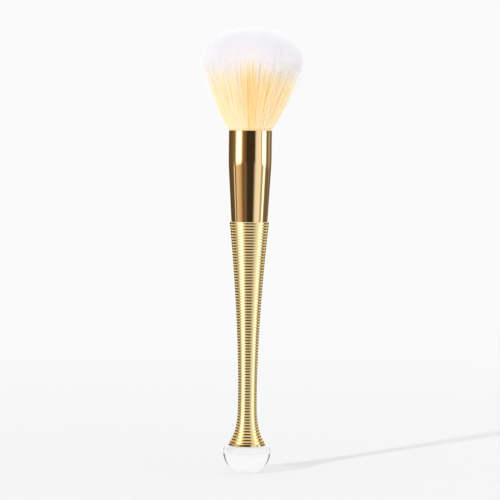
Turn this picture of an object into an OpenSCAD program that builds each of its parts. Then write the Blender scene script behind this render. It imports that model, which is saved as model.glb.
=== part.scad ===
// Powder brush: a domed tuft in a plain ferrule, on a slim ribbed handle that flares out over a clear ball.
// Everything is turned about the Z axis. The origin is the middle of the flat that the ball stands on, and +Z runs
// up through the handle and the ferrule to the top of the tuft.

/* [Ball] */
// Diameter of the clear ball
ball_d = 20; // [16.5:0.5:24]
// Diameter of the flat under the ball, on which the brush stands
foot_d = 8; // [6.5:0.5:9.5]
// Height of the ball's flat top above the ball's centre
ball_top_rise = 2.5; // [1.5:0.05:4]
// Radius of the rounding between the ball's side and its flat top
ball_round = 2; // [0.4:0.1:2.5]
// Thickness of the clear glue between the ball and the handle
ball_glue_t = 0.15; // [0.1:0.05:0.4]
// Distance in to the edge of that glue, from the edge of the handle's rim or of the ball's flat top
ball_glue_inset = 0.6; // [0.2:0.1:2]

/* [Handle] */
// Length of the handle that shows, from its rim to its shoulder
handle_len = 94.6; // [78:0.2:115]
// Diameter over the ribs at the slimmest place
waist_d = 8; // [6.6:0.1:9.5]
// Height of the slimmest place above the rim's lower face
waist_rise = 22; // [16:1:30]
// Diameter of the smooth rim over the ball
rim_d = 15.5; // [12.5:0.1:18.5]
// Height of the smooth rim
rim_h = 0.7; // [0.5:0.05:2]
// Step in from the rim to the first rib
rim_step = 0.15; // [0:0.05:0.5]
// Step out from the ferrule to the last rib, which is the shoulder that the ferrule sits on
shoulder_step = 0.75; // [0.4:0.05:1]
// Number of ribs
rib_count = 78; // [60:1:93]
// Depth of the grooves between the ribs
rib_depth = 0.25; // [0.2:0.01:0.3]
// Length of the tenon that goes up into the ferrule
tenon_len = 12; // [8:0.5:15]
// Chamfer on the tenon's upper edge
tenon_chamfer = 0.6; // [0.2:0.1:1]

/* [Weight] */
// Diameter of the steel rod inside the handle
weight_d = 4; // [3:0.1:4.8]
// Length of that rod
weight_len = 60; // [40:1:80]
// Thickness of the handle that is left solid under the rod
weight_floor = 4; // [2:0.5:8]
// Length of the plug that holds the rod down
plug_len = 4; // [2:0.5:8]

/* [Ferrule] */
// Length of the ferrule
ferrule_len = 38.6; // [31.8:0.2:46]
// Outer diameter of the ferrule's straight upper part
mouth_d = 18.1; // [14.9:0.1:22]
// How far each side of the ferrule narrows down to its lower end
taper_in = 1.45; // [0:0.05:2]
// Length of the tapered lower part
taper_len = 24.7; // [18:0.1:30]
// Half the length over which the taper blends into the straight part
blend_len = 3; // [1:0.5:5]
// Thickness of the ferrule's wall
ferrule_wall = 0.4; // [0.3:0.05:0.5]
// Thickness of the glue round the tenon at the ferrule's lower end
ferrule_glue_t = 0.2; // [0.1:0.05:0.4]

/* [Roots] */
// Depth of the strands' roots below the ferrule's mouth
root_depth = 10; // [6:0.5:13]
// Thickness of the glued disc that the roots stand in
root_t = 2; // [1.5:0.1:2.5]
// Step in from that disc's edge to the outermost strand
root_step = 0.3; // [0.2:0.05:0.6]
// Length of the hard glue poured in behind the roots
potting_len = 7; // [4:0.5:9]
// Thickness of the thread that binds the roots
thread_d = 0.5; // [0.4:0.05:0.6]
// Turns of that thread
thread_turns = 4; // [3:1:5]

/* [Tuft] */
// Diameter of the circle that holds the tuft at its widest place
tuft_d = 44; // [35:0.2:52]
// Height of the tuft's top above the ferrule's mouth
tuft_h = 44.1; // [36:0.1:53]
// Height of the widest place above the ferrule's mouth
widest_h = 29; // [22:0.5:35]
// Number of strands
strand_count = 300; // [300:5:320]

/* [Hidden] */

// Gap left round every piece that is glued or pushed into another
seat_gap = 0.05;
// Overrun of every cut, and of the tenon's outline into the handle's
overrun = 1;
// Sides of the round pieces
$fn = 96;

// How fast the handle opens upwards to its shoulder, and downwards to its flare
shoulder_power = 1.75;
flare_power = 3.8;
// How far the tuft's flank bows out from a straight line
flank_power = 1.25;
// Turn from each strand to the next, as in the seeds of a sunflower
golden_turn = 137.508;
// Sides of a strand, and of the disc that it stands on
strand_sides = 3;
root_sides = 32;
// Size of a strand as a share of the spacing unit of the strands round it
strand_fill_share = 0.66;
// Height of the flank's middle ring as a share of the height of the widest place
mid_ring_share = 0.5;
// How far up the dome over it a strand keeps its full thickness, as a share of the dome's height there
full_share = 0.6;
// Most that a strand falls short of the dome, as a share of the dome's height over it
short_tip_share = 0.12;
short_tip_seed = 11;
// Distance between turns of the binding thread as a share of its thickness
thread_pitch_share = 0.9;
// Steps of the ferrule's blend
blend_steps = 6;

mirror_gold = "#DDAE5C";
pale_gold = "#E2C88C";
hair_yellow = "#F9D48C";
clear_glass = [0.9, 0.94, 0.96, 0.5];
clear_glue = [0.93, 0.92, 0.86, 0.6];
steel_grey = "#9AA0A6";
glue_amber = "#C9A662";
thread_white = "#EEE9DC";

ball_r = ball_d / 2;
ball_z = sqrt(pow(ball_r, 2) - pow(foot_d / 2, 2));
ball_top_z = ball_z + ball_top_rise;
// Centre of the rounding's arc, as radius and height above the ball's centre. The arc touches the ball's from inside.
ball_round_h = ball_top_rise - ball_round;
ball_flat_r = sqrt(pow(ball_r - ball_round, 2) - pow(ball_round_h, 2));
ball_round_turn = asin(ball_round_h / (ball_r - ball_round));
rim_z = ball_top_z + ball_glue_t;
first_rib_z = rim_z + rim_h;
waist_z = rim_z + waist_rise;
shoulder_z = rim_z + handle_len;
mouth_z = shoulder_z + ferrule_len;
root_z = mouth_z - root_depth - root_t;

neck_d = mouth_d - 2 * taper_in;
shoulder_d = neck_d + 2 * shoulder_step;
flare_d = rim_d - 2 * rim_step;
tenon_d = neck_d - 2 * (ferrule_wall + ferrule_glue_t + 2 * seat_gap);
root_d = mouth_d - 2 * (ferrule_wall + thread_d + 2 * seat_gap);

weight_z = rim_z + weight_floor;
plug_z = weight_z + weight_len;

rib_pitch = (handle_len - rim_h) / rib_count;
// Radius of the arc over each rib. Arcs of this radius meet at the bottom of the grooves.
rib_r = (pow(rib_depth, 2) + pow(rib_pitch / 2, 2)) / (2 * rib_depth);

// Diameter over the ribs at height z
function handle_d(z) =
    z > waist_z
        ? waist_d + (shoulder_d - waist_d) * pow((z - waist_z) / (shoulder_z - waist_z), shoulder_power)
        : waist_d + (flare_d - waist_d) * pow((waist_z - z) / (waist_z - first_rib_z), flare_power);

function rib_z(i) = first_rib_z + (i + 0.5) * rib_pitch;
// Centre of rib i's arc, as radius and height
function rib_centre(i) = [handle_d(rib_z(i)) / 2 - rib_r, rib_z(i)];

// Outer radius of the ferrule at height h above its lower end. A parabola blends the taper into the straight part.
function ferrule_r(h) =
    let (
        slope = taper_in / taper_len,
        below_bend = taper_len - h
    )
    mouth_d / 2 - (
        below_bend >= blend_len ? slope * below_bend
        : below_bend <= -blend_len ? 0
        : slope * pow(blend_len + below_bend, 2) / (4 * blend_len)
    );

// Heights above the ferrule's lower end at which its outline turns, from one height to another
function ferrule_turns(from, to) = concat(
    [from],
    [
        for (i = [0 : blend_steps])
        let (h = taper_len + blend_len * (2 * i / blend_steps - 1))
        if (h > from && h < to) h
    ],
    [to]
);

// Points up the ferrule's wall, the given depth in from its outside
function wall_points(from, to, depth) = [for (h = ferrule_turns(from, to)) [ferrule_r(h) - depth, h]];

function backwards(points) = [for (i = [len(points) - 1 : -1 : 0]) points[i]];

// The strands stand on a sunflower's spiral. Its unit of length is the radius of the ring that they fill, shared
// out so that the outermost strand just touches the ring.
function spacing_unit(ring_r) = ring_r / (sqrt(strand_count) + strand_fill_share);
function strand_out(i) = sqrt(i + 0.5);
function strand_axis(i) = strand_out(i) * [cos(i * golden_turn), sin(i * golden_turn)];
function strand_corner(i, side) =
    let (turn = i * golden_turn + 360 * side / strand_sides)
    strand_axis(i) + strand_fill_share * [cos(turn), sin(turn)];

// Radius of the tuft at a share of the height from the mouth to the widest place
pack_r = mouth_d / 2 - ferrule_wall - seat_gap;
function flank_r(share) = pack_r + (tuft_d / 2 - pack_r) * (1 - pow(1 - share, flank_power));

// Height of the dome over strand i, above the widest place
function dome_rise(i) = (tuft_h - widest_h) * sqrt(1 - pow(strand_out(i), 2) / strand_count);

// Rings that strand i passes through, as radius and height above the roots' lower face
root_len = root_t + root_depth;
function strand_rings(i) = [
    [root_d / 2 - root_step, root_t],
    [pack_r, root_len],
    [flank_r(mid_ring_share), root_len + widest_h * mid_ring_share],
    [tuft_d / 2, root_len + widest_h + dome_rise(i) * full_share]
];
strand_ring_count = len(strand_rings(0));
tip_index = strand_ring_count * strand_sides;

short_tips = rands(1 - short_tip_share, 1, strand_count, short_tip_seed);
function strand_tip(i) = [
    each spacing_unit(tuft_d / 2) * strand_axis(i),
    root_len + widest_h + dome_rise(i) * short_tips[i]
];

strand_faces = concat(
    [[for (side = [0 : strand_sides - 1]) side]],
    [
        for (ring = [0 : strand_ring_count - 2], side = [0 : strand_sides - 1])
        let (
            a = ring * strand_sides + side,
            b = ring * strand_sides + (side + 1) % strand_sides
        )
        each [[a, a + strand_sides, b + strand_sides], [a, b + strand_sides, b]]
    ],
    [
        for (side = [0 : strand_sides - 1])
        [
            tip_index - strand_sides + side,
            tip_index,
            tip_index - strand_sides + (side + 1) % strand_sides
        ]
    ]
);

module strand(i) {
    points = [
        for (ring = strand_rings(i), side = [0 : strand_sides - 1])
        [each spacing_unit(ring[0]) * strand_corner(i, side), ring[1]]
    ];
    polyhedron(points = concat(points, [strand_tip(i)]), faces = strand_faces);
}

// What the rounding takes off at the ball's upper edge, measured from the ball's centre
module ball_round_cut() {
    reach = 2 * ball_round;
    difference() {
        translate([ball_flat_r, ball_round_h])
            polygon([
                [0, 0],
                reach * [cos(ball_round_turn), sin(ball_round_turn)],
                [reach, reach],
                [0, reach]
            ]);
        translate([ball_flat_r, ball_round_h]) circle(r = ball_round);
    }
}

// The ball, ground flat at the foot and where the handle is glued on
module clear_ball() {
    color(clear_glass)
    translate([0, 0, ball_z])
    rotate_extrude()
    difference() {
        intersection() {
            circle(r = ball_r);
            translate([0, -ball_z]) square([ball_d, ball_top_z]);
        }
        ball_round_cut();
    }
}

module ball_glue() {
    color(clear_glue)
    translate([0, 0, ball_top_z])
        cylinder(h = ball_glue_t, r = min(rim_d / 2, ball_flat_r) - ball_glue_inset);
}

// Half the outline of the part that shows: a core through the centres of the ribs' arcs, with a round bead for
// each rib, cut off flat at the shoulder
module handle_outline() {
    core = [
        [0, rim_z],
        [rim_d / 2, rim_z],
        [rim_d / 2, first_rib_z],
        [rib_centre(0)[0], first_rib_z],
        each [for (i = [0 : rib_count - 1]) rib_centre(i)],
        [rib_centre(rib_count - 1)[0], shoulder_z],
        [0, shoulder_z]
    ];
    intersection() {
        union() {
            polygon(core);
            for (i = [0 : rib_count - 1]) translate(rib_centre(i)) circle(r = rib_r);
        }
        translate([0, rim_z]) square([rim_d + shoulder_d, handle_len]);
    }
}

module ribbed_handle() {
    // The tenon's outline starts inside the last rib, so that the two are one outline
    tenon = [
        [0, -overrun],
        [tenon_d / 2, -overrun],
        [tenon_d / 2, tenon_len - tenon_chamfer],
        [tenon_d / 2 - tenon_chamfer, tenon_len],
        [0, tenon_len]
    ];
    color(pale_gold)
    difference() {
        rotate_extrude() {
            handle_outline();
            translate([0, shoulder_z]) polygon(tenon);
        }
        translate([0, 0, weight_z])
            cylinder(h = shoulder_z + tenon_len - weight_z + overrun, d = weight_d + 2 * seat_gap);
    }
}

// The rod keeps the brush's weight low, so that it stands on its small foot
module weight_rod() {
    color(steel_grey)
    translate([0, 0, weight_z])
        cylinder(h = weight_len, d = weight_d);
}

module weight_plug() {
    color(glue_amber)
    translate([0, 0, plug_z])
        cylinder(h = plug_len, d = weight_d);
}

module ferrule() {
    color(mirror_gold)
    translate([0, 0, shoulder_z])
    rotate_extrude()
        polygon(concat(
            wall_points(0, ferrule_len, 0),
            backwards(wall_points(0, ferrule_len, ferrule_wall))
        ));
}

// The glue fills the wedge between the straight tenon and the tapered ferrule
module ferrule_glue() {
    inner_r = tenon_d / 2 + seat_gap;
    color(glue_amber)
    translate([0, 0, shoulder_z])
    rotate_extrude()
        polygon(concat(
            wall_points(0, tenon_len, ferrule_wall + seat_gap),
            [[inner_r, tenon_len], [inner_r, 0]]
        ));
}

module root_potting() {
    top_h = root_z - shoulder_z;
    bottom_h = top_h - potting_len;
    color(glue_amber)
    translate([0, 0, shoulder_z])
    rotate_extrude()
        polygon(concat(
            wall_points(bottom_h, top_h, ferrule_wall + seat_gap),
            [[0, top_h], [0, bottom_h]]
        ));
}

module root_binding() {
    color(thread_white)
    translate([0, 0, root_z + seat_gap + thread_d / 2])
    rotate_extrude()
    for (i = [0 : thread_turns - 1])
        translate([(root_d + thread_d) / 2 + seat_gap, i * thread_d * thread_pitch_share])
            circle(d = thread_d);
}

// Strands fused to the disc that their roots are glued in. The tallest strand is brought to the tuft's full height.
module tuft() {
    color(hair_yellow)
    translate([0, 0, root_z])
    resize([0, 0, root_len + tuft_h])
    union() {
        cylinder(h = root_t, d = root_d, $fn = root_sides);
        for (i = [0 : strand_count - 1]) strand(i);
    }
}

clear_ball();
ball_glue();
ribbed_handle();
weight_rod();
weight_plug();
ferrule();
ferrule_glue();
root_potting();
root_binding();
tuft();
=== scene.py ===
"""Dresses a packed powder brush: two-coloured tuft, mirror ferrule, ribbed handle and clear ball foot.

Lengths in the classes are in millimetres and colours are sRGB hex codes. Meshes are made in metres, in the
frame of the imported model: +Z runs up the brush, which stands on the plane z = 0.
"""

import logging
import math
from dataclasses import dataclass
from enum import Enum

import bpy
import numpy as np
from mathutils import Matrix, Vector


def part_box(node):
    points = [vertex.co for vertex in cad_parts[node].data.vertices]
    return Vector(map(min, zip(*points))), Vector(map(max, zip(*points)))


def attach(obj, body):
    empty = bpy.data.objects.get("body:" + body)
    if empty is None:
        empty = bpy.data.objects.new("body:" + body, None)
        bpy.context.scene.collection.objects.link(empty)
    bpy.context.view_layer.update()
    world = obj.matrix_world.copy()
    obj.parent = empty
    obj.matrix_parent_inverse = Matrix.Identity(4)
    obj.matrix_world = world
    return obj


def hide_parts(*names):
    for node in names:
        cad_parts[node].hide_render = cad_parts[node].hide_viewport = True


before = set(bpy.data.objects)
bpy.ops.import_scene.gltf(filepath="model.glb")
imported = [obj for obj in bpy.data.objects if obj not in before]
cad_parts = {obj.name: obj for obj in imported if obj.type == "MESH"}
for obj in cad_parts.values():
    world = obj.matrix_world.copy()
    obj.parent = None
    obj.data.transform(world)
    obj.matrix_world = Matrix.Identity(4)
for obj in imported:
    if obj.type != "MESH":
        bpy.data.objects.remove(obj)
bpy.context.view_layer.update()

LOG = logging.getLogger("powder_brush")
MM = 0.001
BODY = "root"
# Points of a mesh that lie closer than this, in metres, are one point.
WELD = 1e-7
# The turn between one seed of a sunflower and the next, which spreads places evenly over a disc.
GOLDEN_TURN = math.radians(137.508)
# Light passes many hairs, and many inner faces of the ball, before it is spent.
BOUNCES = {"max_bounces": 256, "glossy_bounces": 64, "diffuse_bounces": 200, "transmission_bounces": 200}

Outline = list[tuple[float, float]]
Colour = tuple[float, float, float, float]
Span = tuple[float, float]
Array = np.ndarray
Random = np.random.Generator
Tree = bpy.types.NodeTree
Node = bpy.types.Node
Inputs = dict[str | int, object]


class Ray(Enum):
    """The kinds of ray that can get a look of their own, by the output that tells them apart."""

    CAMERA = "Is Camera Ray"
    SHADOW = "Is Shadow Ray"
    DIFFUSE = "Is Diffuse Ray"
    AFTER_DIFFUSE = "Diffuse Depth"
    GLOSSY = "Is Glossy Ray"
    TRANSMISSION = "Is Transmission Ray"


class HairTrait(Enum):
    """What each hair carries along its length for its material to read."""

    WHITENESS = "whiteness"
    DYE = "dye"


def linear_colour(code: str) -> Colour:
    """Turns an sRGB hex code into the linear colour that a shader takes.

    Args:
        code: Six hex digits after a hash sign.

    Returns:
        Red, green, blue and a full alpha, linear.
    """
    parts = [int(code[i : i + 2], 16) / 255 for i in (1, 3, 5)]
    red, green, blue = (p / 12.92 if p <= 0.04045 else ((p + 0.055) / 1.055) ** 2.4 for p in parts)
    return red, green, blue, 1.0


def add_node(tree: Tree, kind: str, inputs: Inputs | None = None, **settings: object) -> Node:
    """Adds one node with its settings, values and links.

    Args:
        tree: The tree that gets the node.
        kind: The node's type name, without the "ShaderNode" in front.
        inputs: Sockets by name or number, each with a value, an output or a node with that output first.
        **settings: Properties of the node itself.

    Returns:
        The new node.
    """
    node = tree.nodes.new("ShaderNode" + kind)
    for key, value in settings.items():
        setattr(node, key, value)
    for key, value in (inputs or {}).items():
        if isinstance(value, Node):
            value = next(output for output in value.outputs if output.enabled)
        if isinstance(value, bpy.types.NodeSocket):
            tree.links.new(value, node.inputs[key])
        else:
            node.inputs[key].default_value = value
    return node


def by_ray(tree: Tree, shader: Node, others: dict[Ray, Node]) -> Node:
    """Gives some kinds of ray another shader.

    Args:
        tree: The tree of a material or of the world.
        shader: What every other ray meets.
        others: The shader for each kind of ray. Where a ray is of two kinds, the later one holds.

    Returns:
        The joined shader.
    """
    path = add_node(tree, "LightPath")
    for ray, other in others.items():
        shader = add_node(tree, "MixShader", {0: path.outputs[ray.value], 1: shader, 2: other})
    return shader


def new_material(name: str) -> tuple[bpy.types.Material, Tree]:
    """Starts a material with an empty node tree.

    Args:
        name: The material's name.

    Returns:
        The material and its tree.
    """
    material = bpy.data.materials.new(name)
    material.use_nodes = True
    material.node_tree.nodes.clear()
    return material, material.node_tree


def deselect_all() -> None:
    """Leaves object mode with nothing selected, ready for a new piece."""
    if bpy.context.object and bpy.context.object.mode != "OBJECT":
        bpy.ops.object.mode_set(mode="OBJECT")
    bpy.ops.object.select_all(action="DESELECT")


def dress(piece: bpy.types.Object, material: bpy.types.Material) -> None:
    """Gives a piece its one material."""
    piece.data.materials.clear()
    piece.data.materials.append(material)


def place(piece: bpy.types.Object, slot: str, replaced: str) -> None:
    """Makes a piece ride on the brush's one body and says which slot and node it stands for.

    Args:
        piece: A finished piece.
        slot: The record's material slot.
        replaced: The CAD node that it stands for.
    """
    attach(piece, BODY)
    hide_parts(replaced)
    LOG.info("%s: %d faces on %s, slot %s", piece.name, len(piece.data.polygons), BODY, slot)


@dataclass(frozen=True)
class Finish:
    """What a material looks like.

    Attributes:
        name: The material's name.
    """

    name: str

    def surface(self, tree: Tree) -> Node:
        """Builds the finish's nodes and gives its shader."""
        raise NotImplementedError

    def material(self) -> bpy.types.Material:
        """Makes the material."""
        made, tree = new_material(self.name)
        add_node(tree, "OutputMaterial", {"Surface": self.surface(tree)})
        return made


@dataclass(frozen=True)
class PlatedMetal(Finish):
    """A bright gold coloured metal surface, plated or anodised, with the faint marks of handling.

    Attributes:
        code: The metal's own colour.
        edge_code: Its tint at a grazing angle.
        roughness: The roughness between the marks.
        mark_mm: The length of one handling mark.
        mark_roughness: How much rougher the marks are.
        mark_span: The noise levels at which a mark begins and is at its roughest.
        detail: How many finer layers the marks have.
    """

    code: str
    edge_code: str
    roughness: float
    mark_mm: float
    mark_roughness: float
    mark_span: Span = (0.45, 0.8)
    detail: float = 3.0

    def surface(self, tree: Tree) -> Node:
        """Builds a smooth metal whose roughness wanders a little, as a handled plating's does."""
        coords = add_node(tree, "TexCoord").outputs["Object"]
        scale = 1 / (self.mark_mm * MM)
        levels = {
            "Value": add_node(tree, "TexNoise", {"Vector": coords, "Scale": scale, "Detail": self.detail}),
            "From Min": self.mark_span[0],
            "From Max": self.mark_span[1],
            "To Min": self.roughness,
            "To Max": self.roughness + self.mark_roughness,
        }
        metal = {
            "Base Color": linear_colour(self.code),
            "Metallic": 1.0,
            "Roughness": add_node(tree, "MapRange", levels),
            "Specular Tint": linear_colour(self.edge_code),
        }
        return add_node(tree, "BsdfPrincipled", metal)


@dataclass(frozen=True)
class ClearSolid(Finish):
    """A clear solid, such as polished glass or hard clear glue.

    Attributes:
        code: The tint of what passes through.
        ior: The index of refraction.
        roughness: The roughness of its surface.
        core_shade: How dark its shadow is in the middle, from 0 to 1.
        rim_shade: How dark its shadow is where it bends the light most.
        mirror: How much of its outer mirror image the lens's polariser lets through.
        shade_blend: How far the dark rim of its shadow reaches in.
    """

    code: str
    ior: float
    roughness: float
    core_shade: float
    rim_shade: float
    mirror: float
    shade_blend: float = 0.3

    def surface(self, tree: Tree) -> Node:
        """Builds a material that is clear to the eye, with a shadow that is darkest at its rim."""
        tint = linear_colour(self.code)
        surface = {"Roughness": self.roughness, "IOR": self.ior}
        glass = add_node(tree, "BsdfPrincipled", {"Base Color": tint, "Transmission Weight": 1.0, **surface})
        bending = add_node(tree, "BsdfRefraction", {"Color": tint, **surface})
        mirror = add_node(tree, "BsdfGlossy", {"Color": tint, "Roughness": self.roughness})
        fresnel = add_node(tree, "Fresnel", {"IOR": self.ior})
        weaker = add_node(tree, "Math", {0: fresnel, 1: self.mirror}, operation="MULTIPLY")
        facing = add_node(tree, "LayerWeight", {"Blend": self.shade_blend}).outputs["Facing"]
        shades = {"Value": facing, "To Min": 1.0 - self.core_shade, "To Max": 1.0 - self.rim_shade}
        looks = {
            Ray.CAMERA: add_node(tree, "MixShader", {0: weaker, 1: bending, 2: mirror}),
            Ray.SHADOW: add_node(tree, "BsdfTransparent", {"Color": add_node(tree, "MapRange", shades)}),
            Ray.DIFFUSE: add_node(tree, "BsdfTransparent", {"Color": tint}),
        }
        return by_ray(tree, glass, looks)


@dataclass(frozen=True)
class PlainSolid(Finish):
    """A hidden or dull solid, such as hard glue, steel rod or thread, with a grain of its own.

    Attributes:
        code: The colour.
        dark_code: The colour of its grain.
        grain_mm: The size of that grain.
        roughness: The roughness of its surface.
        metallic: 1 for a metal, 0 for the rest.
        relief: How much of the grain's height shows.
        detail: How many finer layers the grain has.
    """

    code: str
    dark_code: str
    grain_mm: float
    roughness: float
    metallic: float = 0.0
    relief: float = 0.3
    detail: float = 4.0

    def surface(self, tree: Tree) -> Node:
        """Builds the material: two close colours in a grain, with a slight relief."""
        coords = add_node(tree, "TexCoord").outputs["Object"]
        size = self.grain_mm * MM
        grain = add_node(tree, "TexNoise", {"Vector": coords, "Scale": 1 / size, "Detail": self.detail})
        ends = {"Factor": grain, "A": linear_colour(self.code), "B": linear_colour(self.dark_code)}
        solid = {
            "Base Color": add_node(tree, "Mix", ends, data_type="RGBA"),
            "Metallic": self.metallic,
            "Roughness": self.roughness,
            "Normal": add_node(tree, "Bump", {"Height": grain, "Strength": self.relief, "Distance": size}),
        }
        return add_node(tree, "BsdfPrincipled", solid)


@dataclass(frozen=True)
class TwoToneHair(Finish):
    """Fine synthetic hair, dyed yellow and left white at the tips.

    Attributes:
        tip: The colour of the tips.
        white: The colour of the white length below them.
        yellow: The colour of the dyed length.
        deep_yellow: The colour of the locks that took more dye.
        roughness: The roughness of a hair.
        glow: The share of light that passes through a hair.
        shine: How much shine of its own a hair has.
    """

    tip: str
    white: str
    yellow: str
    deep_yellow: str
    roughness: float
    glow: float
    shine: float = 0.0

    def surface(self, tree: Tree) -> Node:
        """Builds the material, which reads how white and how dyed each hair is along its length."""
        white, dye = (add_node(tree, "Attribute", attribute_name=t.value).outputs["Fac"] for t in HairTrait)

        # Whiteness runs from 0 to 1 between the yellow and the white, and on to 2 at the tips.
        above = add_node(tree, "Math", {0: white, 1: 1.0}, operation="SUBTRACT", use_clamp=True)
        colour: Colour | Node = linear_colour(self.yellow)
        for share, code in ((dye, self.deep_yellow), (white, self.white), (above, self.tip)):
            ends = {"Factor": share, "A": colour, "B": linear_colour(code)}
            colour = add_node(tree, "Mix", ends, data_type="RGBA")
        surface = {"Roughness": self.roughness, "Specular IOR Level": self.shine}
        body = add_node(tree, "BsdfPrincipled", {"Base Color": colour, **surface})
        through = add_node(tree, "BsdfTranslucent", {"Color": colour})
        return add_node(tree, "MixShader", {0: self.glow, 1: body, 2: through})


# The colours, grain size and roughness of poured glue.
AMBER = ("#D9BE84", "#C2A366", 1.5, 0.4)


@dataclass
class TurnedPart:
    """A part that is turned about the brush's axis.

    Attributes:
        turn_steps: Steps round the part.
        arc_steps: Steps along its main arc.
        sharp_deg: Edges that turn by more than this stay sharp.
    """

    turn_steps: int = 128
    arc_steps: int = 16
    sharp_deg: float = 30.0

    def outline(self) -> Outline:
        """Gives half the section: radius and height of each point, closed on the axis or on itself."""
        raise NotImplementedError

    def turned(self, name: str) -> bpy.types.Object:
        """Turns the outline about the Z axis, as on a lathe.

        Args:
            name: The name of the new piece.

        Returns:
            The new piece, smooth-shaded, with its place in its mesh.
        """
        points = [Vector((r * MM, 0, z * MM)) for r, z in self.outline()]
        deselect_all()

        # A small circle is merged to one point, which is then drawn along the outline.
        bpy.ops.mesh.primitive_circle_add(vertices=3, radius=MM, location=(0, 0, 0))
        piece = bpy.context.object
        piece.name = piece.data.name = name
        bpy.ops.object.mode_set(mode="EDIT")
        bpy.ops.mesh.select_all(action="SELECT")
        bpy.ops.mesh.merge(type="CENTER")
        bpy.ops.transform.translate(value=points[0])
        for start, end in zip(points, points[1:]):
            bpy.ops.mesh.extrude_region_move(TRANSFORM_OT_translate={"value": end - start})
        bpy.ops.mesh.select_all(action="SELECT")
        bpy.ops.mesh.spin(steps=self.turn_steps, angle=2 * math.pi, center=(0, 0, 0), axis=(0, 0, 1))
        bpy.ops.mesh.select_all(action="SELECT")
        bpy.ops.mesh.remove_doubles(threshold=WELD)
        bpy.ops.mesh.normals_make_consistent(inside=False)
        bpy.ops.object.mode_set(mode="OBJECT")
        bpy.ops.object.shade_smooth_by_angle(angle=math.radians(self.sharp_deg))
        return piece


@dataclass
class BallFoot(TurnedPart):
    """The clear ball that the brush stands on.

    Attributes:
        radius: The ball's radius.
        foot_radius: The radius of the flat that it stands on.
        edge: The chamfer on the edge of that flat.
        shoulder: The radius of the rounding under the handle's rim.
        shoulder_steps: Steps along that rounding.
        air_film: The air between ball and glue, as faces that meet would darken the ball.
        glass: Its finish.
    """

    turn_steps: int = 160
    arc_steps: int = 64
    sharp_deg: float = 12.0
    radius: float = 10.0
    foot_radius: float = 4.0
    edge: float = 0.12
    shoulder: float = 2.0
    shoulder_steps: int = 20
    air_film: float = 0.02
    # Pressed and polished glass: colourless, with thin dark lines where it bends the side walls into view.
    glass: ClearSolid = ClearSolid(
        "polished clear glass", "#FEFEFE", 1.5, 0.0, core_shade=0.3, rim_shade=0.75, mirror=0.15
    )

    def outline(self) -> Outline:
        """Gives half the ball's section, from the middle of the foot round to the middle of the top."""
        centre = math.sqrt(self.radius**2 - self.foot_radius**2)
        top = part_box("clear_ball")[1].z / MM - self.air_film
        shoulder_z = top - self.shoulder
        shoulder_r = math.sqrt((self.radius - self.shoulder) ** 2 - (shoulder_z - centre) ** 2)
        low = math.asin(-centre / self.radius) + self.edge / self.radius
        high = math.atan2(shoulder_z - centre, shoulder_r)
        side = [low + (high - low) * i / self.arc_steps for i in range(self.arc_steps)]
        last = math.pi / 2 - high
        turn = [high + last * i / self.shoulder_steps for i in range(self.shoulder_steps + 1)]
        arcs = ((0.0, centre, self.radius, side), (shoulder_r, shoulder_z, self.shoulder, turn))
        return [
            (0.0, 0.0),
            (self.foot_radius - self.edge, 0.0),
            *((r + size * math.cos(a), z + size * math.sin(a)) for r, z, size, arc in arcs for a in arc),
            (0.0, top),
        ]

    def build(self) -> None:
        """Makes the ball."""
        ball = self.turned("ball_polished")
        dress(ball, self.glass.material())
        place(ball, "clear_glass", "clear_ball")


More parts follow.
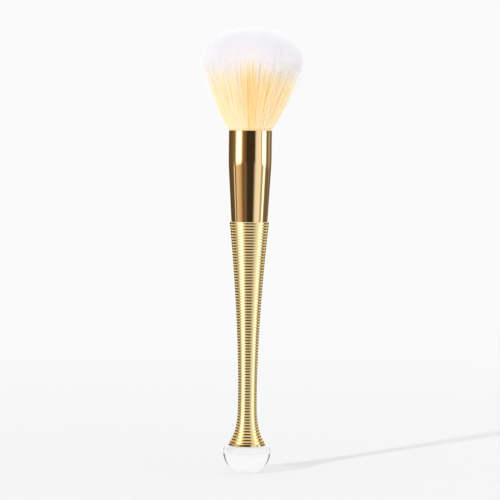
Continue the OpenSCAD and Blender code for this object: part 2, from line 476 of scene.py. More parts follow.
@dataclass
class RibbedHandle(TurnedPart):
    """The handle: a slim waist, a flare over the ball, and closed ribs all the way.

    Attributes:
        waist: Radius over the ribs at the slimmest place.
        waist_rise: Height of that place above the rim's lower face.
        rim: Radius of the smooth rim.
        rim_height: Height of the smooth rim.
        flare: Radius over the first rib.
        flare_power: How late the flare opens below the waist.
        shoulder: Radius over the last rib.
        shoulder_power: How late the handle widens above the waist.
        ribs: How many ribs there are.
        groove: Depth of the grooves between them.
        tenon: Radius of the tenon that goes into the ferrule.
        tenon_length: Length of the tenon.
        bore: Radius of the bore for the steel rod.
        bore_floor: Height of its floor above the rim's lower face.
        finish: Its finish.
    """

    turn_steps: int = 112
    arc_steps: int = 8
    sharp_deg: float = 40.0
    waist: float = 4.0
    waist_rise: float = 22.0
    rim: float = 7.75
    rim_height: float = 0.7
    flare: float = 7.6
    flare_power: float = 3.8
    shoulder: float = 8.35
    shoulder_power: float = 1.75
    ribs: int = 78
    groove: float = 0.25
    tenon: float = 6.9
    tenon_length: float = 12.0
    bore: float = 2.05
    bore_floor: float = 4.0
    # Moulded ABS, plated in a vacuum: a bright pale gold mirror, broken into fine lines by the ribs.
    finish: PlatedMetal = PlatedMetal(
        "vacuum plated ABS in pale gold", "#FDEBBA", "#FFE9B0", 0.06, mark_mm=6.0, mark_roughness=0.05
    )

    def radius_at(self, height: float, length: float) -> float:
        """Gives the radius over the ribs.

        Args:
            height: Height above the rim's lower face.
            length: Length of the handle that shows.

        Returns:
            The radius in mm.
        """
        if height > self.waist_rise:
            share = (height - self.waist_rise) / (length - self.waist_rise)
            return self.waist + (self.shoulder - self.waist) * share**self.shoulder_power
        share = (self.waist_rise - height) / (self.waist_rise - self.rim_height)
        return self.waist + (self.flare - self.waist) * share**self.flare_power

    def outline(self) -> Outline:
        """Gives half the handle's section, from the rim up over the ribs to the tenon and its bore."""
        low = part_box("ribbed_handle")[0].z / MM
        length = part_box("ferrule")[0].z / MM - low
        pitch = (length - self.rim_height) / self.ribs
        size = (self.groove**2 + (pitch / 2) ** 2) / (2 * self.groove)
        half_turn = math.asin(pitch / 2 / size)
        angles = [half_turn * (2 * step / self.arc_steps - 1) for step in range(self.arc_steps + 1)]
        section = [(0.0, low), (self.rim, low), (self.rim, low + self.rim_height)]
        for rib in range(self.ribs):
            middle = self.rim_height + (rib + 0.5) * pitch
            centre = self.radius_at(middle, length) - size
            section += [(centre + size * math.cos(a), low + middle + size * math.sin(a)) for a in angles]
        top = low + length
        return section + [
            (self.tenon, top),
            (self.tenon, top + self.tenon_length),
            (self.bore, top + self.tenon_length),
            (self.bore, low + self.bore_floor),
            (0.0, low + self.bore_floor),
        ]

    def build(self) -> None:
        """Makes the handle."""
        handle = self.turned("handle_ribbed")
        dress(handle, self.finish.material())
        place(handle, "pale_gold_plating", "ribbed_handle")
        # Dull surfaces get no shade and no gold light from the handle, which keeps the floor below it pale.
        handle.visible_diffuse = False


@dataclass
class Ferrule(TurnedPart):
    """The plain metal sleeve between handle and hair.

    Attributes:
        mouth: Outer radius of the straight upper part.
        taper_in: How far the radius shrinks down to the lower end.
        taper_length: Length of the tapered part.
        blend: Half the length over which the taper blends into the straight part.
        wall: Thickness of the wall.
        edge: The chamfer on each edge of the wall.
        finish: Its finish.
    """

    turn_steps: int = 192
    mouth: float = 9.05
    taper_in: float = 1.45
    taper_length: float = 24.7
    blend: float = 3.0
    wall: float = 0.4
    edge: float = 0.1
    # Drawn aluminium, polished and anodised gold: a clean mirror, a deeper gold than the handle's.
    finish: PlatedMetal = PlatedMetal(
        "polished aluminium anodised gold", "#FFE1AD", "#FFDCA0", 0.03, mark_mm=9.0, mark_roughness=0.03
    )

    def radius_at(self, height: float) -> float:
        """Gives the sleeve's outer radius.

        Args:
            height: Height above the lower end.

        Returns:
            The radius in mm.
        """
        slope = self.taper_in / self.taper_length
        below = self.taper_length - height
        if below >= self.blend:
            return self.mouth - slope * below
        if below <= -self.blend:
            return self.mouth
        return self.mouth - slope * (self.blend + below) ** 2 / (4 * self.blend)

    def outline(self) -> Outline:
        """Gives the wall's section, up the outside and down the inside, with softened edges."""
        low, high = (corner.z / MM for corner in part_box("ferrule"))
        steps = [2 * i / self.arc_steps - 1 for i in range(self.arc_steps + 1)]
        heights = [self.edge, *(self.taper_length + self.blend * step for step in steps)]
        foot, bore = self.radius_at(0), self.mouth - self.wall
        return [
            (foot - self.edge, low),
            *((self.radius_at(h), low + h) for h in heights),
            (self.mouth, high - self.edge),
            (self.mouth - self.edge, high),
            (bore + self.edge, high),
            (bore, high - self.edge),
            *((self.radius_at(h) - self.wall, low + h) for h in reversed(heights)),
            (foot - self.wall + self.edge, low),
            (foot - self.edge, low),
        ]

    def build(self) -> None:
        """Makes the ferrule."""
        sleeve = self.turned("ferrule_polished")
        dress(sleeve, self.finish.material())
        place(sleeve, "gold_aluminium", "ferrule")


@dataclass
class HiddenSolids:
    """The CAD nodes that stay as they are, out of sight or nearly so.

    Attributes:
        finishes: Each node's name and its finish.
    """

    finishes: tuple[tuple[str, Finish], ...] = (
        # Cast clear glue: a trace warmer and softer than the glass, and hardly seen.
        (
            "ball_glue",
            ClearSolid("clear hard glue", "#FBF8EE", 1.5, 0.02, core_shade=0.0, rim_shade=0.1, mirror=1.0),
        ),
        # Drawn steel: a dull grey metal with a fine grain.
        ("weight_rod", PlainSolid("drawn steel rod", "#9AA0A6", "#80868C", 0.8, 0.35, metallic=1.0)),
        # Poured hard glue, in three places: a warm amber with a slight cloudiness.
        ("weight_plug", PlainSolid("hard amber glue", *AMBER)),
        ("ferrule_glue", PlainSolid("hard amber glue round the tenon", *AMBER)),
        ("root_potting", PlainSolid("hard amber glue behind the roots", *AMBER)),
        # Twisted cotton: off-white and quite dull, with a grain as fine as the thread.
        ("root_binding", PlainSolid("cotton binding thread", "#EEE9DC", "#D8D2C2", 0.3, 0.9)),
    )

    def build(self) -> None:
        """Dresses each node."""
        for node, finish in self.finishes:
            dress(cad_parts[node], finish.material())
            LOG.info("%s: kept as packed, in %s", node, finish.name)


@dataclass(frozen=True)
class Dye:
    """How high the yellow dye reaches, in mm above the ferrule's mouth, and how deep it is, from 0 to 1, with
    painted shade towards the right.

    Attributes:
        end: Where the dye ends at the left and behind.
        front_end: How much higher it ends at the front.
        middle_end: How much higher still in the middle of the front.
        middle_power: How narrow that middle is.
        right_end: How much lower it ends at the right.
        lock_spread: How far its end differs between locks.
        hair_spread: How far it differs between hairs.
        short_white: The least white length of a hair of the fringe.
        fade: The length over which yellow goes over to white.
        tip_start: How far above the dye's end the tip's colour begins.
        tip_fade: The length over which it comes.
        painted_right_tip_shade: Painted shade: how much shorter that length is at the right, so that the
            greyer tip colour comes sooner on the side away from the key lamp.
        least: The depth in the palest hair.
        lock_depth: How much it differs between locks.
        hair_depth: How much it differs between hairs.
        middle_depth: How much more it is in the middle of the front.
        climb: How much it grows from the mouth up to the dye's end.
        climb_middle: Where on that way the growth turns from less to more.
        painted_side_shade: Painted light and shade: how much more it grows at the right, away from the key
            lamp, and less at the lamp-lit left.
    """

    end: float = 19.4
    front_end: float = 1.2
    middle_end: float = 2.4
    middle_power: int = 24
    right_end: float = 0.5
    lock_spread: float = 1.7
    hair_spread: float = 1.0
    short_white: float = 9.0
    fade: float = 6.5
    tip_start: float = 5.0
    tip_fade: float = 13.0
    # Painted shade: the tips turn to their greyer colour sooner at the right, away from the key lamp.
    painted_right_tip_shade: float = 5.0
    least: float = -0.1
    lock_depth: float = 0.8
    hair_depth: float = 0.3
    middle_depth: float = 0.6
    climb: float = 0.45
    climb_middle: float = 0.6
    # Painted light and shade: deeper dye at the right, away from the key lamp, and paler dye at the lamp-lit
    # left.
    painted_side_shade: float = 0.28

    def traits(
        self, random: Random, turn: Array, locks: Array, height: Array, most: Array
    ) -> dict[str, Array]:
        """Works out how white and how dyed each hair is along its length, with painted shade towards the
        right.

        Args:
            random: The source of every chance value.
            turn: The direction of each hair round the brush, 0 at the right.
            locks: How deep each hair's lock is dyed, from 0 to 1, and how high, as a normal value.
            height: The heights of each hair's rings.
            most: The highest that the dye may end on each hair.

        Returns:
            An array by hair and ring for each trait's name.
        """
        tone, rise = locks
        front, right = np.clip(-np.sin(turn), 0, 1), np.cos(turn)
        middle, right_side = front**self.middle_power, np.clip(right, 0, 1)
        end = self.end + self.front_end * front + self.middle_end * middle - self.right_end * right_side
        end = end + self.lock_spread * rise + random.normal(0, self.hair_spread, len(turn))
        end = np.minimum(end, most)[:, None]
        # Painted shade: the greyer tip colour comes sooner at the right.
        tip_fade = (self.tip_fade - self.painted_right_tip_shade * right_side)[:, None]
        above = height - end
        white = np.clip(above / self.fade + 0.5, 0, 1) + np.clip((above - self.tip_start) / tip_fade, 0, 1)
        depth = self.lock_depth * tone + self.hair_depth * random.random(len(turn))
        depth = (depth + self.middle_depth * middle + self.least)[:, None]
        up = np.clip(height / end, 0, 1)
        # Painted light and shade: the dye deepens towards the right, away from the key lamp, and pales
        # towards the lit left.
        dye = depth + self.climb * (up - self.climb_middle) + self.painted_side_shade * right[:, None] * up
        return {HairTrait.WHITENESS.value: white, HairTrait.DYE.value: dye}


@dataclass
class HairTuft:
    """The domed tuft: fine tapered hairs that fan out from the ferrule and end on a dome.

    Attributes:
        locks: How many pieces the hair is split into, to keep each light.
        hairs_per_lock: Hairs in each piece.
        widest: Radius of the tuft at its widest place.
        widest_height: Height of that place above the ferrule's mouth.
        dome: Height of the dome above that place.
        over_dome: How far the longest hairs pass it.
        under_dome: How far hairs end short of those, as a normal spread.
        depth: How far down in the ferrule the modelled hair starts.
        stations: Heights of a hair's rings but the root's, as shares of its own.
        pack: Radius of the hair in the mouth.
        spring: How far the outermost hairs spring out just above the mouth.
        spring_height: Within which height they do so.
        lean: How far the whole tuft leans to the right.
        hair: Radius of a hair at its root.
        tip: Radius of a hair near its tip.
        stray: How far single hairs stray in or out, as a share of the radius.
        fringe_from: The share of the radius from which some hairs are short.
        fringe_share: The share of short hairs there.
        fringe_stray: How far these stray out at most, as a share of the radius.
        fringe_low: The height of the shortest, as a share of widest_height.
        fringe_high: How far above the widest place the longest end.
        clumps: How many locks the hairs lean together in.
        clump_pull: How far a hair leans to its lock, as a share.
        wave: How far hairs wave off their way at the tip.
        bend_power: How late a hair leans and waves.
        seed: The seed of all chance values.
        dye: Where the dye is, with painted shade on the right side.
        finish: The hair's finish.
    """

    locks: int = 9
    hairs_per_lock: int = 4400
    widest: float = 21.7
    widest_height: float = 29.0
    dome: float = 15.0
    over_dome: float = 0.4
    under_dome: float = 1.1
    depth: float = 2.0
    stations: tuple[float, ...] = (0.004, 0.04, 0.18, 0.42, 0.66, 0.86, 1.0)
    pack: float = 8.55
    spring: float = 0.6
    spring_height: float = 0.8
    lean: float = 0.6
    hair: float = 0.055
    tip: float = 0.012
    stray: float = 0.015
    fringe_from: float = 0.9
    fringe_share: float = 0.06
    fringe_stray: float = 0.2
    fringe_low: float = 0.4
    fringe_high: float = 3.0
    clumps: int = 2000
    clump_pull: float = 0.24
    wave: float = 0.25
    bend_power: float = 1.5
    seed: int = 20
    dye: Dye = Dye()
    # Tapered nylon hair: soft and without shine. Light goes on from hair to hair, so that the tuft glows and
    # the pale dye of one hair adds up to a full yellow.
    finish: TwoToneHair = TwoToneHair(
        "synthetic hair dyed yellow", "#F9F9FA", "#FEFDFD", "#FFFEF7", "#FFF9D2", roughness=0.55, glow=0.5
    )

    def one_hair(self) -> bpy.types.Object:
        """Models one hair of unit thickness, one unit from ring to ring, pointed at the top."""
        deselect_all()
        bpy.ops.mesh.primitive_circle_add(vertices=3, radius=1, location=(0, 0, 0))
        hair = bpy.context.object
        bpy.ops.object.mode_set(mode="EDIT")
        bpy.ops.mesh.select_all(action="SELECT")
        for _ in self.stations:
            bpy.ops.mesh.extrude_region_move(TRANSFORM_OT_translate={"value": (0, 0, 1)})
        bpy.ops.mesh.merge(type="CENTER")
        bpy.ops.mesh.select_all(action="SELECT")
        bpy.ops.mesh.fill_holes(sides=3)
        bpy.ops.mesh.select_all(action="SELECT")
        bpy.ops.mesh.normals_make_consistent(inside=False)
        bpy.ops.object.mode_set(mode="OBJECT")
        return hair

    def flank(self, height: Array) -> Array:
        """Gives the tuft's radius.

        Args:
            height: Heights above the mouth.

        Returns:
            A radius in mm for each height.
        """
        sprung = self.pack + self.spring * (1 - np.exp(-np.maximum(height, 0) / self.spring_height))
        rise = np.clip(height / self.widest_height, 0, 1)
        return sprung + (self.widest - self.pack - self.spring) * rise

    def paths(self, random: Random, count: int) -> dict[str, Array]:
        """Works out where each hair runs, how thick it is and how it is dyed.

        Args:
            random: The source of every chance value.
            count: How many hairs there are.

        Returns:
            Arrays by name: axis points in mm, thickness in mm and the traits, each by hair and ring.
        """
        out = np.sqrt(random.random(count))
        turn = random.random(count) * 2 * np.pi
        places = out * np.cos(turn), out * np.sin(turn)

        # Hairs lean together in locks. Each lock has a place of its own on the unit disc, and each hair is
        # in the lock nearest to it. The hairs are set against the locks in parts, to save memory.
        lock_out = np.sqrt((np.arange(self.clumps) + 0.5) / self.clumps)
        lock_turn = np.arange(self.clumps) * GOLDEN_TURN
        centres = lock_out * np.cos(lock_turn), lock_out * np.sin(lock_turn)
        parts = zip(*(np.array_split(place, self.locks) for place in places))
        far = (sum((at[:, None] - centre) ** 2 for at, centre in zip(part, centres)) for part in parts)
        mine = np.concatenate([part.argmin(1) for part in far])
        lock_dye = np.stack([random.random(self.clumps), random.normal(0, 1, self.clumps)])

        # Most hairs reach the dome, with a few a little short. Some of the outermost end on the flank.
        reach = self.widest_height + self.dome * np.sqrt(np.clip(1 - out**2, 0, 1))
        reach = reach - np.abs(random.normal(0, self.under_dome, count)) + self.over_dome
        is_short = (out > self.fringe_from) & (random.random(count) < self.fringe_share)
        lowest, highest = self.widest_height * self.fringe_low, self.widest_height + self.fringe_high
        reach = np.where(is_short, random.uniform(lowest, highest, count), reach)

        steps = np.array([-self.depth, *self.stations])
        height = np.where(steps < 0, steps, reach[:, None] * steps)
        steps = np.clip(steps, 0, 1)[None, :]
        short_splay = random.uniform(0, self.fringe_stray, count)
        splay = np.where(is_short, short_splay, random.normal(0, self.stray, count))
        spread = self.flank(height) * (1 + splay[:, None] * np.sqrt(steps))
        bend = steps**self.bend_power
        axis = []
        for place, centre, lean in zip(places, centres, (self.lean, 0.0)):
            pulled = place[:, None] + self.clump_pull * bend * (centre[mine] - place)[:, None]
            waved = self.wave * bend * random.normal(0, 1, (count, 1))
            axis.append(spread * pulled + waved + lean * steps**2)

        thick = np.repeat(self.hair + (self.tip - self.hair) * steps**2, count, 0)
        most = np.where(is_short, reach - self.dye.short_white, np.inf)
        traits = self.dye.traits(random, turn, lock_dye[:, mine], height, most)
        return {"axis": np.stack([*axis, height], 2), "thick": thick, **traits}

    def lock(self, name: str, hair: bpy.types.Object, rows: dict[str, Array]) -> bpy.types.Object:
        """Copies the one hair along each path into a single mesh.

        Args:
            name: The piece's name.
            hair: The unit hair.
            rows: The arrays that paths() gives, for this piece's hairs only.

        Returns:
            The piece.
        """
        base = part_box("ferrule")[1].z
        corners = np.array([v.co for v in hair.data.vertices])
        ring = np.rint(corners[:, 2]).astype(int)
        count = len(rows["axis"])
        points = rows["axis"][:, ring, :] * MM + np.array([0, 0, base])
        points[:, :, :2] += corners[None, :, :2] * rows["thick"][:, ring, None] * MM
        loops = np.array([v for p in hair.data.polygons for v in p.vertices])
        all_loops = (loops[None, :] + np.arange(count)[:, None] * len(corners)).ravel()
        all_sizes = np.tile([len(p.vertices) for p in hair.data.polygons], count)
        starts = np.concatenate([[0], np.cumsum(all_sizes)[:-1]])

        mesh = bpy.data.meshes.new(name)
        mesh.vertices.add(count * len(corners))
        mesh.vertices.foreach_set("co", points.astype(np.float32).ravel())
        mesh.loops.add(len(all_loops))
        mesh.loops.foreach_set("vertex_index", all_loops.astype(np.int32))
        mesh.polygons.add(len(all_sizes))
        mesh.polygons.foreach_set("loop_start", starts.astype(np.int32))
        mesh.polygons.foreach_set("use_smooth", np.zeros(len(all_sizes), bool))
        for trait in HairTrait:
            attribute = mesh.attributes.new(trait.value, "FLOAT", "POINT")
            attribute.data.foreach_set("value", rows[trait.value][:, ring].astype(np.float32).ravel())
        mesh.update()
        mesh.validate()
        piece = bpy.data.objects.new(name, mesh)
        bpy.context.scene.collection.objects.link(piece)
        return piece

    def build(self) -> None:
        """Makes every lock of hair and dresses it."""
        hair = self.one_hair()
        every = self.paths(np.random.default_rng(self.seed), self.locks * self.hairs_per_lock)
        material = self.finish.material()
        for number in range(self.locks):
            part = slice(number * self.hairs_per_lock, (number + 1) * self.hairs_per_lock)
            piece = self.lock(f"hair_lock_{number + 1}", hair, {k: v[part] for k, v in every.items()})
            dress(piece, material)
            place(piece, "yellow_hair", "tuft")
        bpy.data.objects.remove(hair)


@dataclass(frozen=True)
class Tone:
    """How bright the studio is in one direction round the brush.

    Attributes:
        turn_deg: The direction. 0 is the camera's side and the viewer's right is positive.
        level: The brightness, where 1 is white.
        code: The tint.
    """

    turn_deg: float
    level: float
    code: str = "#FFFFFF"


Tones = tuple[Tone, ...]


def tones(*rows: tuple) -> Tones:
    """Makes a tone of each row of direction, level and, where it isn't white, tint."""
    return tuple(Tone(*row) for row in rows)


@dataclass
class Studio:
    """A white studio with a pale floor, soft boxes at the sides and a low lamp at the front left.

    A span is two angles above eye level, in degrees, between which one tone goes over to another.

    Attributes:
        level_tones: The tones at eye level and above it.
        low_tones: Those just below eye level.
        low_span: Where these begin.
        flank_tones: Those well above and below, which the sides of the ribs see.
        flank_spans: Where they begin, upwards and downwards.
        overhead: The brightness that metal sees overhead.
        overhead_span: Where it begins at the camera's side.
        underfoot: The brightness that metal sees on the floor.
        underfoot_span: Where it begins at the camera's side.
        wall_fall: How fast the walls get lower towards the back.
        bent_tones: The tones that clear pieces see above eye level.
        bent_low: The brightness that they see below it.
        bent_span: Where that goes over to their tones.
        bent_top_span: Where these go over to the plain wall.
        straight_depth: How many faces light meets on a straight way through the ball.
        peak: The brightest level there may be.
        backdrop: The backdrop's colour.
        fill: The brightness of the light on dull surfaces.
        fill_side: How much brighter it is from the right, as a share.
        fill_top: How much weaker it is from above, as a share.
        floor_size: Length of the floor's sides, in metres.
        floor_code: Its colour.
        floor_roughness: Its roughness.
        blend: How far out it goes over to the backdrop, in metres.
        key_azimuth_deg: Where the key lamp stands, from the camera's side to the right.
        key_elevation_deg: How high it stands.
        key_strength: How strong it is.
        key_angle_deg: How wide it is, as an angle.
    """

    level_tones: Tones = tones(
        (-180, 0.95), (-174, 0.95), (-171, 0.12, "#FFE0B0"), (-122, 0.13, "#FFE0B0"),
        (-104, 0.18, "#FFE0B0"), (-92, 0.22, "#FFE4C4"), (-87, 0.4), (-80, 1.2), (-71, 2.1), (-55, 2.2),
        (-49, 1.15), (-42, 0.4, "#FFDCB4"), (-36, 0.24, "#FFC080"), (-24, 0.15, "#FFD8A0"),
        (-17, 0.04, "#FFE5C0"), (18, 0.045, "#FFE5C0"), (26, 0.08, "#FFE4C8"), (30, 0.6), (35, 0.86),
        (59, 0.97), (63, 0.34), (66, 0.5), (70, 1.8), (78, 2.3), (90, 2.2), (97, 0.45),
        (104, 0.1, "#FFE0C8"), (118, 0.35), (130, 0.42), (142, 0.16, "#FFE0B8"), (171, 0.16, "#FFE0B8"),
        (174, 0.95),
    )
    low_tones: Tones = tones(
        (-180, 0.95), (-174, 0.95), (-171, 0.1, "#FFE0B0"), (-103, 0.13, "#FFE0B0"), (-98, 0.82),
        (-94, 0.72), (-90, 0.13, "#FFE0B8"), (-86, 0.14, "#FFE0B8"), (-81, 0.72, "#FFF0DC"),
        (-66, 0.68, "#FFE4C0"), (-52, 0.56, "#FFDCB0"), (-45, 0.27, "#FFD0A0"), (-36, 0.17, "#FFC090"),
        (-25, 0.2, "#FFE0C0"), (-19, 0.12, "#FFE4C8"), (-13, 0.045, "#FFE8D0"), (17, 0.04, "#FFE8D0"),
        (23, 0.2, "#FFE8D8"), (33, 0.82), (57, 0.97), (62, 0.85), (68, 0.34), (73, 0.34), (78, 0.8),
        (85, 1.9), (91, 1.0), (97, 0.18), (118, 0.14, "#FFE8D0"), (148, 0.25), (171, 0.2), (174, 0.95),
    )
    low_span: Span = (-2.5, -4.5)
    flank_tones: Tones = tones(
        (-180, 0.95), (-140, 0.9, "#FFF4D8"), (-130, 0.3, "#FFE8B8"), (-122, 0.1, "#FFDC94"),
        (-104, 0.13, "#FFDC94"), (-94, 0.26, "#FFE8B8"), (-84, 0.6, "#FFF0D0"), (-74, 1.2), (-64, 2.1),
        (-50, 2.1), (-42, 1.25), (-32, 0.5, "#FFECC8"), (-22, 0.26, "#FFDC98"), (-14, 0.16, "#FFD88C"),
        (18, 0.16, "#FFD88C"), (30, 0.2, "#FFDC98"), (40, 0.34, "#FFECC8"), (50, 0.66), (62, 0.95),
        (72, 1.7), (82, 2.2), (90, 0.8), (97, 0.15, "#FFE4B0"), (120, 0.1, "#FFDC94"),
        (130, 0.3, "#FFE8B8"), (140, 0.9, "#FFF4D8"),
    )
    flank_spans: tuple[Span, Span] = ((9, 13), (-12, -16))
    overhead: float = 1.0
    overhead_span: Span = (42, 58)
    underfoot: float = 0.9
    underfoot_span: Span = (-42, -58)
    wall_fall: float = 0.46
    bent_tones: Tones = tones(
        (-180, 0.96), (-121, 0.96), (-118, 0.03), (-82, 0.03), (-78, 0.96), (78, 0.96), (82, 0.0),
        (118, 0.0), (121, 0.96),
    )
    bent_low: float = 0.93
    bent_span: Span = (1, 7)
    bent_top_span: Span = (27, 40)
    straight_depth: float = 3.0
    peak: float = 2.4
    backdrop: str = "#FAFAFA"
    fill: float = 1.23
    fill_side: float = 0.28
    fill_top: float = 0.1
    floor_size: float = 12.0
    # Matt painted board: even and pale, so that it shows the shadow and nothing else.
    floor_code: str = "#DADADB"
    floor_roughness: float = 0.3
    blend: Span = (0.1, 1.0)
    key_azimuth_deg: float = -33.0
    key_elevation_deg: float = 17.0
    key_strength: float = 1.1
    key_angle_deg: float = 3.0

    def grey(self, level: float) -> Colour:
        """Gives a grey of this brightness, as a share of the peak level."""
        return (*[level / self.peak] * 3, 1)

    def tone_ramp(self, tree: Tree, share: Node, ring: Tones) -> Node:
        """Lays tones on a colour ramp round the brush.

        Args:
            tree: The world's tree.
            share: The share of a turn round the brush, 0.5 on the camera's side.
            ring: The tones, from the back round the viewer's left to the back again.

        Returns:
            The ramp, whose colour is a share of the peak level.
        """
        ramp = add_node(tree, "ValToRGB", {"Fac": share})
        stops = ramp.color_ramp.elements
        while len(stops) < len(ring):
            stops.new(1.0)
        for stop, tone in zip(stops, ring):
            stop.position = (tone.turn_deg + 180) / 360
            stop.color = (*(part * tone.level / self.peak for part in linear_colour(tone.code)[:3]), 1)
        return ramp

    def rise_mix(self, tree: Tree, rise: Node, span: Span, before: object, after: object) -> Node:
        """Goes over from one tone to another with the height above or below eye level.

        Args:
            tree: The world's tree.
            rise: The angle above eye level, in radians.
            span: Where the change starts and ends, in degrees.
            before: The colour before it.
            after: The colour after it.

        Returns:
            The mixed colour.
        """
        start, end = (math.radians(angle) for angle in span)
        share = add_node(tree, "MapRange", {"Value": rise, "From Min": start, "From Max": end})
        return add_node(tree, "Mix", {"Factor": share, "A": before, "B": after}, data_type="RGBA")

    def mirrored(self, tree: Tree, turn: Node, share: Node, rise: Node) -> Node:
        """Works out what metal mirrors in each direction.

        Args:
            tree: The world's tree.
            turn: The angle round the brush, 0 on the camera's side, in radians.
            share: The same as a share of a turn, 0.5 on the camera's side.
            rise: The angle above eye level, in radians.

        Returns:
            The colour, as a share of the peak level.
        """
        rings = (self.level_tones, self.low_tones, self.flank_tones)
        level, low, flank = (self.tone_ramp(tree, share, ring) for ring in rings)
        room = self.rise_mix(tree, rise, self.low_span, level, low)
        for span in self.flank_spans:
            room = self.rise_mix(tree, rise, span, room, flank)

        # The walls get lower towards the back, so that ceiling and floor begin nearer to eye level there.
        part = add_node(tree, "Math", {0: turn, 1: self.wall_fall}, operation="MULTIPLY")
        reach = add_node(tree, "Math", {0: part}, operation="COSINE")
        stretched = add_node(tree, "Math", {0: rise, 1: reach}, operation="DIVIDE")
        room = self.rise_mix(tree, stretched, self.overhead_span, room, self.grey(self.overhead))
        return self.rise_mix(tree, stretched, self.underfoot_span, room, self.grey(self.underfoot))

    def bent(self, tree: Tree, share: Node, rise: Node) -> Node:
        """Works out what clear pieces show, which is dark side walls only as thin lines at their edges.

        Args:
            tree: The world's tree.
            share: The share of a turn round the brush, 0.5 on the camera's side.
            rise: The angle above eye level, in radians.

        Returns:
            The colour, as a share of the peak level.
        """
        clear = self.grey(self.bent_tones[0].level)
        walls = self.tone_ramp(tree, share, self.bent_tones)
        seen = self.rise_mix(tree, rise, self.bent_span, self.grey(self.bent_low), walls)
        seen = self.rise_mix(tree, rise, self.bent_top_span, seen, clear)

        # Light that was thrown about inside meets no dark wall, or the ball would go grey.
        depth = add_node(tree, "LightPath").outputs["Ray Depth"]
        faces = {0: depth, 1: self.straight_depth}
        later = add_node(tree, "Math", faces, operation="SUBTRACT", use_clamp=True)
        return add_node(tree, "Mix", {"Factor": later, "A": seen, "B": clear}, data_type="RGBA")

    def build_world(self) -> None:
        """Makes the world: even light for dull surfaces, tones for metal and glass."""
        world = bpy.data.worlds.new("white studio")
        bpy.context.scene.world = world
        world.use_nodes = True
        world.cycles.sampling_method = "NONE"
        tree = world.node_tree
        tree.nodes.clear()
        x, y, z = add_node(tree, "SeparateXYZ", {"Vector": add_node(tree, "TexCoord")}).outputs
        front = add_node(tree, "Math", {0: y, 1: -1.0}, operation="MULTIPLY")
        turn = add_node(tree, "Math", {0: x, 1: front}, operation="ARCTAN2")
        share = add_node(tree, "MapRange", {"Value": turn, "From Min": -math.pi, "From Max": math.pi})
        rise = add_node(tree, "Math", {0: z}, operation="ARCSINE")
        side = {0: x, 1: self.fill * self.fill_side, 2: self.fill}
        top = {0: z, 1: -self.fill * self.fill_top, 2: add_node(tree, "Math", side, operation="MULTIPLY_ADD")}
        lights = (
            (linear_colour("#FFFFFF"), add_node(tree, "Math", top, operation="MULTIPLY_ADD")),
            (self.mirrored(tree, turn, share, rise), self.peak),
            (self.bent(tree, share, rise), self.peak),
            (linear_colour(self.backdrop), 1.0),
        )
        even, mirrored, through, behind = (
            add_node(tree, "Background", {"Color": tint, "Strength": power}) for tint, power in lights
        )
        looks = {Ray.GLOSSY: mirrored, Ray.TRANSMISSION: through, Ray.DIFFUSE: even}
        looks |= {Ray.AFTER_DIFFUSE: even, Ray.CAMERA: behind}
        add_node(tree, "OutputWorld", {"Surface": by_ray(tree, even, looks)})

    def build_floor(self) -> None:
        """Lays the pale floor, which goes over into the backdrop and isn't mirrored in metal."""
        deselect_all()
        bpy.ops.mesh.primitive_plane_add(size=self.floor_size, location=(0, 0, 0))
        floor = bpy.context.object
        floor.name = "studio_floor"
        made, tree = new_material("matt white floor")
        paint = {"Color": linear_colour(self.floor_code), "Roughness": self.floor_roughness}
        matt = add_node(tree, "BsdfDiffuse", paint)
        coords = add_node(tree, "TexCoord").outputs["Object"]
        away = add_node(tree, "VectorMath", {0: coords}, operation="LENGTH")
        near, far = self.blend
        levels = {"Value": away, "From Min": near, "From Max": far}
        share = add_node(tree, "MapRange", levels, interpolation_type="SMOOTHSTEP")
        backdrop = add_node(tree, "Emission", {"Color": linear_colour(self.backdrop)})
        looks = {Ray.CAMERA: add_node(tree, "MixShader", {0: share, 1: matt, 2: backdrop})}
        add_node(tree, "OutputMaterial", {"Surface": by_ray(tree, matt, looks)})
        dress(floor, made)
        floor.visible_glossy = False

    def build_lamp(self) -> None:
        """Hangs the low key lamp."""
        lamp = bpy.data.lights.new("key", "SUN")
        lamp.energy = self.key_strength
        lamp.angle = math.radians(self.key_angle_deg)
        holder = bpy.data.objects.new("key", lamp)
        azimuth = math.radians(self.key_azimuth_deg)
        rise = math.radians(self.key_elevation_deg)
        level = Vector((math.sin(azimuth), -math.cos(azimuth), 0)) * math.cos(rise)
        holder.location = level + Vector((0, 0, math.sin(rise)))
        holder.rotation_euler = holder.location.to_track_quat("Z", "Y").to_euler()
        holder.visible_glossy = False
        bpy.context.scene.collection.objects.link(holder)

    def build(self) -> None:
        """Sets up the whole studio."""
        self.build_world()
        self.build_floor()
        self.build_lamp()


@dataclass
class PhotoCamera:
    """The camera, where the photographer's stood.

    Attributes:
        distance: From the brush's axis, in metres.
        elevation_deg: Its height over the aim, as an angle.
        aim: The point in the middle of the picture, in mm.
        lens: Focal length in mm.
        sensor: Width of the sensor in mm.
        roll_deg: How far the brush leans to the right in the picture.
        clip: The nearest and the farthest that it sees, in metres.
    """

    distance: float = 1.36
    elevation_deg: float = 2.3
    aim: tuple[float, float, float] = (0.39, 0.0, 94.5)
    lens: float = 231.7
    sensor: float = 36.0
    roll_deg: float = 0.656
    clip: Span = (0.01, 50.0)

    def build(self) -> None:
        """Sets up the camera."""
        data = bpy.data.cameras.new("photo_camera")
        data.lens = self.lens
        data.sensor_width = self.sensor
        data.clip_start, data.clip_end = self.clip
        camera = bpy.data.objects.new("photo_camera", data)
        rise = math.radians(self.elevation_deg)
        away = Vector((0, -math.cos(rise), math.sin(rise)))
        look = away.to_track_quat("Z", "Y").to_matrix()
        roll = Matrix.Rotation(math.radians(self.roll_deg), 3, "Z")
        stand = Matrix.Translation(Vector(self.aim) * MM + away * self.distance)
        camera.matrix_world = stand @ (look @ roll).to_4x4()
        bpy.context.scene.collection.objects.link(camera)
        bpy.context.scene.camera = camera


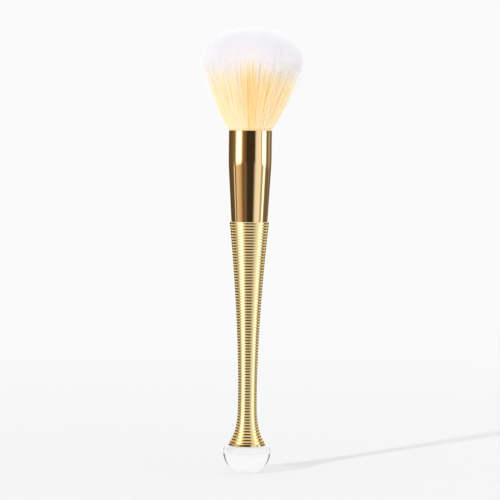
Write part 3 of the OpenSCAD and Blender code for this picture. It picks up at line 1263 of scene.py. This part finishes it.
def main() -> None:
    """Builds the brush's pieces and the studio round it."""
    logging.basicConfig(level=logging.INFO, format="%(name)s: %(message)s")
    scene = bpy.context.scene
    scene.view_settings.view_transform = "Standard"
    scene.cycles.use_denoising = True
    for name, count in BOUNCES.items():
        setattr(scene.cycles, name, count)
    for part in (PhotoCamera(), BallFoot(), RibbedHandle(), Ferrule(), HiddenSolids(), HairTuft(), Studio()):
        part.build()


if __name__ == "__main__":
    main()
